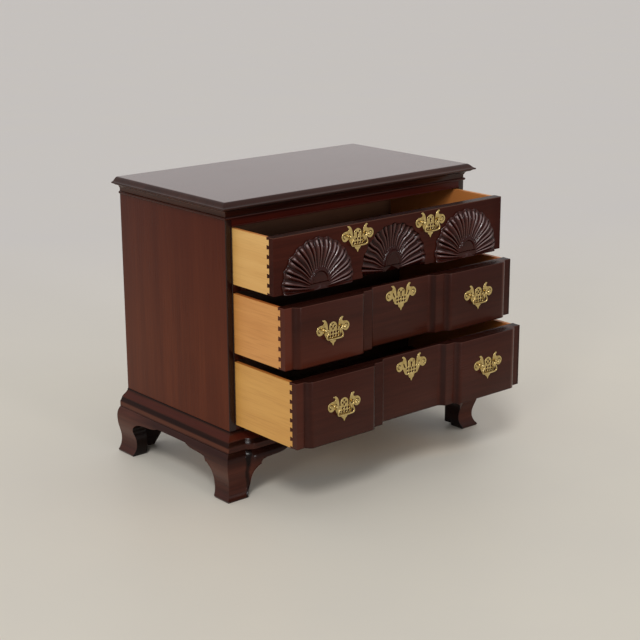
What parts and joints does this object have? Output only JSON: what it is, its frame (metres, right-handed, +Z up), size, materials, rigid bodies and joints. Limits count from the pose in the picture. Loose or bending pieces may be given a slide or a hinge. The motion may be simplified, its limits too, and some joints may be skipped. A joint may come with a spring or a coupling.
{
  "type": "chest of drawers",
  "caption": "Mahogany block front chest: sliding drawers with carved shells and hinged brass bail pulls, moulded top, ogee bracket feet.",
  "frame": {"origin": "on the floor under the middle of the whole box, with the drawers standing open as stored", "axes": "+X to the right along the front, +Y to the back, +Z up"},
  "size_m": [0.945, 0.7768, 0.8022],
  "materials": {
    "mahogany_case": "satin lacquer over red-brown stain",
    "mahogany_top": "polished lacquer",
    "mahogany_front": "satin lacquer over dark red-brown stain",
    "drawer_side_maple": "clear lacquer",
    "drawer_lining_wood": "clear lacquer",
    "secondary_wood": "thin stain",
    "polished_brass": "polished, lacquered",
    "plain_brass": "plain"
  },
  "bodies": {
    "case": {"back_panel": "secondary_wood", "base_moulding_front": "mahogany_case", "base_moulding_left": "mahogany_case", "base_moulding_right": "mahogany_case", "bottom_rail": "mahogany_case", "case_bottom": "secondary_wood", "case_side_left": "mahogany_case", "case_side_right": "mahogany_case", "cornice_front": "mahogany_case", "cornice_left": "mahogany_case", "cornice_right": "mahogany_case", "drawer_runners": "secondary_wood", "dust_panels": "secondary_wood", "foot_glue_blocks": "secondary_wood", "lower_rail": "mahogany_case", "rear_bracket_left": "secondary_wood", "rear_bracket_right": "secondary_wood", "skirt_front": "mahogany_case", "skirt_left": "mahogany_case", "skirt_right": "mahogany_case", "top_board": "mahogany_top", "top_rail": "mahogany_case", "upper_rail": "mahogany_case"},
    "top_drawer": {"shell_left": "mahogany_front", "shell_right": "mahogany_front", "top_drawer_back": "drawer_lining_wood", "top_drawer_bottom": "drawer_lining_wood", "top_drawer_front": "mahogany_front", "top_drawer_side_left": "drawer_side_maple", "top_drawer_side_right": "drawer_side_maple", "top_pull_nuts": "plain_brass", "top_pull_plate_left": "polished_brass", "top_pull_plate_right": "polished_brass", "top_pull_posts": "polished_brass"},
    "top_left_bail": {"top_bail_left": "polished_brass"},
    "top_right_bail": {"top_bail_right": "polished_brass"},
    "middle_drawer": {"middle_drawer_back": "drawer_lining_wood", "middle_drawer_bottom": "drawer_lining_wood", "middle_drawer_front": "mahogany_front", "middle_drawer_side_left": "drawer_side_maple", "middle_drawer_side_right": "drawer_side_maple", "middle_escutcheon": "polished_brass", "middle_pull_nuts": "plain_brass", "middle_pull_plate_left": "polished_brass", "middle_pull_plate_right": "polished_brass", "middle_pull_posts": "polished_brass"},
    "middle_left_bail": {"middle_bail_left": "polished_brass"},
    "middle_right_bail": {"middle_bail_right": "polished_brass"},
    "bottom_drawer": {"bottom_drawer_back": "drawer_lining_wood", "bottom_drawer_bottom": "drawer_lining_wood", "bottom_drawer_front": "mahogany_front", "bottom_drawer_side_left": "drawer_side_maple", "bottom_drawer_side_right": "drawer_side_maple", "bottom_escutcheon": "polished_brass", "bottom_pull_nuts": "plain_brass", "bottom_pull_plate_left": "polished_brass", "bottom_pull_plate_right": "polished_brass", "bottom_pull_posts": "polished_brass"},
    "bottom_left_bail": {"bottom_bail_left": "polished_brass"},
    "bottom_right_bail": {"bottom_bail_right": "polished_brass"}
  },
  "joints": [
    {"name": "top_drawer_slide", "type": "slide", "parent": "case", "child": "top_drawer", "axis": [0, -1, 0], "range_m": [-0.1695, 0.2105]},
    {"name": "top_left_bail_hinge", "type": "hinge", "parent": "top_drawer", "child": "top_left_bail", "pos_m": [-0.132, -0.28355, 0.7017], "axis": [-1, 0, 0], "range_deg": [0, 95]},
    {"name": "top_right_bail_hinge", "type": "hinge", "parent": "top_drawer", "child": "top_right_bail", "pos_m": [0.132, -0.28355, 0.7017], "axis": [-1, 0, 0], "range_deg": [0, 95]},
    {"name": "middle_drawer_slide", "type": "slide", "parent": "case", "child": "middle_drawer", "axis": [0, -1, 0], "range_m": [-0.2114, 0.1686]},
    {"name": "middle_left_bail_hinge", "type": "hinge", "parent": "middle_drawer", "child": "middle_left_bail", "pos_m": [-0.266, -0.34045, 0.4869], "axis": [-1, 0, 0], "range_deg": [0, 95]},
    {"name": "middle_right_bail_hinge", "type": "hinge", "parent": "middle_drawer", "child": "middle_right_bail", "pos_m": [0.266, -0.34045, 0.4869], "axis": [-1, 0, 0], "range_deg": [0, 95]},
    {"name": "bottom_drawer_slide", "type": "slide", "parent": "case", "child": "bottom_drawer", "axis": [0, -1, 0], "range_m": [-0.2549, 0.1251]},
    {"name": "bottom_left_bail_hinge", "type": "hinge", "parent": "bottom_drawer", "child": "bottom_left_bail", "pos_m": [-0.266, -0.38395, 0.2944], "axis": [-1, 0, 0], "range_deg": [0, 95]},
    {"name": "bottom_right_bail_hinge", "type": "hinge", "parent": "bottom_drawer", "child": "bottom_right_bail", "pos_m": [0.266, -0.38395, 0.2944], "axis": [-1, 0, 0], "range_deg": [0, 95]}
  ]
}
